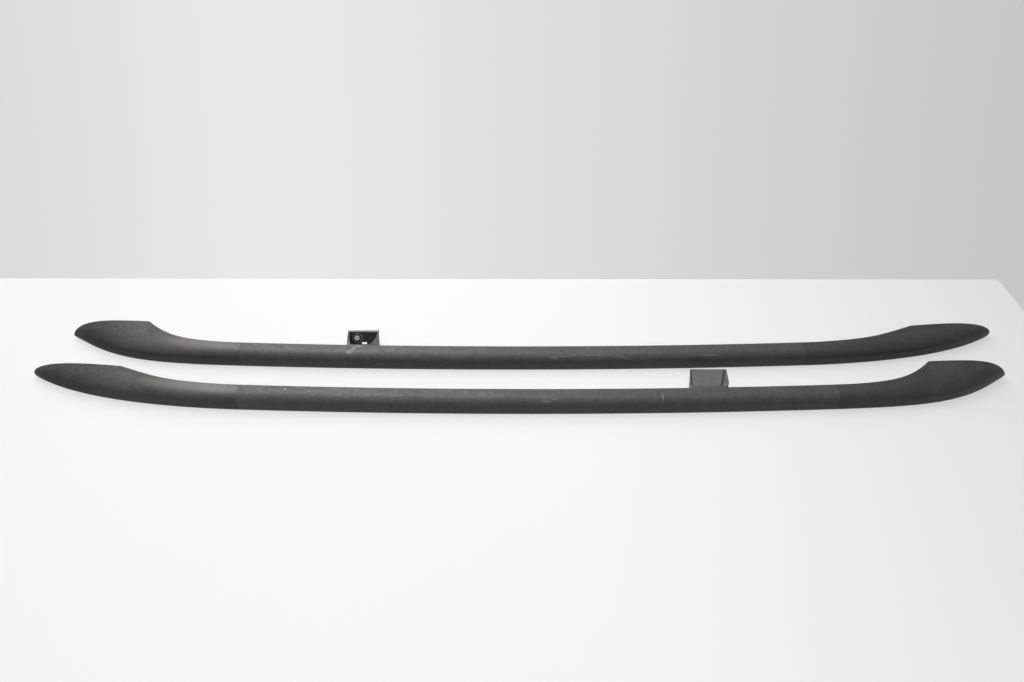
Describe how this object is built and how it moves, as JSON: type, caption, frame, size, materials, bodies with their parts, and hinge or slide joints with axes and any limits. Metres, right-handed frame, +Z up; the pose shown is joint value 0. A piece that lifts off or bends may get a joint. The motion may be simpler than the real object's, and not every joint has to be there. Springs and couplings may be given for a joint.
{
  "type": "roof side rail pair",
  "caption": "Pair of arched roof side rails with moulded foot covers and a short bolted mid support under each bar.",
  "frame": {"origin": "middle of the pair, on the surface that the rails lie on", "axes": "+X along the rails, +Y from the ridge to the roof side, +Z up from the surface they lie on"},
  "size_m": [1.828, 0.2356, 0.0425],
  "materials": {
    "bar_paint": "worn satin black powder coat on aluminium tube",
    "cover_plastic": "grained matte black",
    "cast_bracket": "as cast",
    "gasket_rubber": "matte black rubber",
    "screw_steel": "zinc plated",
    "support_plastic": "moulded matte black",
    "bolt_zinc": "bright zinc plated",
    "washer_steel": "dark phosphated",
    "cap_plastic": "sun-bleached grey"
  },
  "bodies": {
    "root": {"far_bar": "bar_paint", "far_steep_foot_cover": "cover_plastic", "far_shallow_foot_cover": "cover_plastic", "far_steep_foot_bracket": "cast_bracket", "far_shallow_foot_bracket": "cast_bracket", "far_steep_foot_gasket": "gasket_rubber", "far_shallow_foot_gasket": "gasket_rubber", "far_bar_screws": "screw_steel", "far_mid_support": "support_plastic", "far_mid_screws": "screw_steel", "far_mid_bolt": "bolt_zinc", "far_mid_washer": "washer_steel", "far_mid_pad": "gasket_rubber", "near_bar": "bar_paint", "near_steep_foot_cover": "cover_plastic", "near_shallow_foot_cover": "cover_plastic", "near_steep_foot_bracket": "cast_bracket", "near_shallow_foot_bracket": "cast_bracket", "near_steep_foot_gasket": "gasket_rubber", "near_shallow_foot_gasket": "gasket_rubber", "near_bar_screws": "screw_steel", "near_mid_support": "support_plastic", "near_mid_screws": "screw_steel", "near_mid_bolt": "bolt_zinc", "near_mid_washer": "washer_steel", "near_mid_pad": "gasket_rubber", "near_mid_cap": "cap_plastic"}
  },
  "joints": []
}
